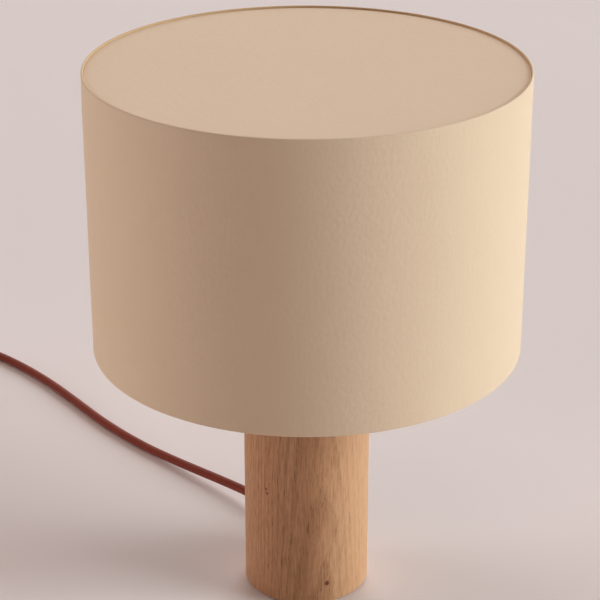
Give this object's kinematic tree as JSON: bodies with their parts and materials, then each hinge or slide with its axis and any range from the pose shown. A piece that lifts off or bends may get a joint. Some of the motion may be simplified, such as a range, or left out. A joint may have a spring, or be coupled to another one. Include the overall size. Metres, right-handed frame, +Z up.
{
  "type": "table lamp",
  "caption": "Table lamp with a round oak column, a cream cotton drum shade closed on top by a cloth panel, a screw bulb, and a brown textile cord with switch and plug.",
  "frame": {"origin": "where the column's axis meets the table", "axes": "+Z up along the column and shade axis, +Y to the back, where the cord leaves the column"},
  "size_m": [0.5082, 0.631, 0.3922],
  "materials": {
    "oak": "oiled, fine grain",
    "felt": "pressed felt",
    "steel": "zinc plated",
    "brass": "plain",
    "nickel": "nickel plated, satin",
    "black_plastic": "satin moulded",
    "white_plastic": "satin moulded",
    "ceramic": "unglazed",
    "brown_wire": "insulation",
    "blue_wire": "insulation",
    "cord_textile": "braided textile",
    "cotton": "fine plain weave",
    "lining": "smooth sheet",
    "white_wire": "powder coated",
    "board": "stiff board",
    "opal_glass": "opal",
    "tie_webbing": "woven strap"
  },
  "bodies": {
    "base": {"oak_column": "oak", "foot_pad": "felt", "base_plate": "steel", "plate_screws": "steel", "cord_bush": "black_plastic", "cord_held_end": "cord_textile", "grip_block": "black_plastic", "grip_saddle": "black_plastic", "grip_screws": "steel", "threaded_tube": "steel", "tube_nut": "steel", "tube_washer": "steel", "top_washer": "steel", "live_wire": "brown_wire", "neutral_wire": "blue_wire", "holder_dome": "white_plastic", "holder_insert": "ceramic", "holder_skirt": "white_plastic", "screw_shell": "brass", "centre_contact": "brass", "terminal_screws": "brass", "shade_ring": "white_plastic", "cord_lead": "cord_textile", "cord_tail": "cord_textile", "cord_end": "cord_textile", "cord_coil": "cord_textile", "cord_tie": "tie_webbing", "switch_lower_shell": "black_plastic", "switch_upper_shell": "black_plastic", "switch_pivot": "steel", "switch_screws": "steel", "switch_terminals": "brass", "switch_strip": "brass", "plug_body": "black_plastic", "plug_pins": "nickel", "plug_relief": "black_plastic"},
    "shade": {"shade_cover": "cotton", "shade_seam": "cotton", "shade_lining": "lining", "top_wire_ring": "white_wire", "bottom_wire_ring": "white_wire", "carrier_ring": "white_wire", "carrier_arm_1": "white_wire", "carrier_arm_2": "white_wire", "carrier_arm_3": "white_wire"},
    "panel": {"panel_board": "board", "panel_cloth": "cotton"},
    "bulb_contact": {"bulb_tip": "nickel"},
    "bulb": {"bulb_globe": "opal_glass", "bulb_cap": "nickel", "bulb_insulator": "black_plastic"},
    "rocker": {"switch_rocker": "black_plastic"}
  },
  "joints": [
    {"name": "shade_turn", "type": "hinge", "parent": "base", "child": "shade", "pos_m": [0, 0, 0.239], "axis": [0, 0, 1], "continuous": true},
    {"name": "panel_lift", "type": "slide", "parent": "shade", "child": "panel", "axis": [0, 0, 1], "range_m": [0, 0.06]},
    {"name": "bulb_lift", "type": "slide", "parent": "base", "child": "bulb_contact", "axis": [0, 0, 1], "range_m": [0, 0.0255]},
    {"name": "bulb_turn", "type": "hinge", "parent": "bulb_contact", "child": "bulb", "pos_m": [0, 0, 0.24], "axis": [0, 0, 1], "range_deg": [0, 2520]},
    {"name": "rocker_tilt", "type": "hinge", "parent": "base", "child": "rocker", "pos_m": [-0.236, 0.468, 0.0126], "axis": [0, 1, 0], "range_deg": [0, 16]}
  ],
  "couplings": [
    {"joint": "bulb_lift", "follows": "bulb_turn", "m_per_rad": 0.00057757}
  ]
}
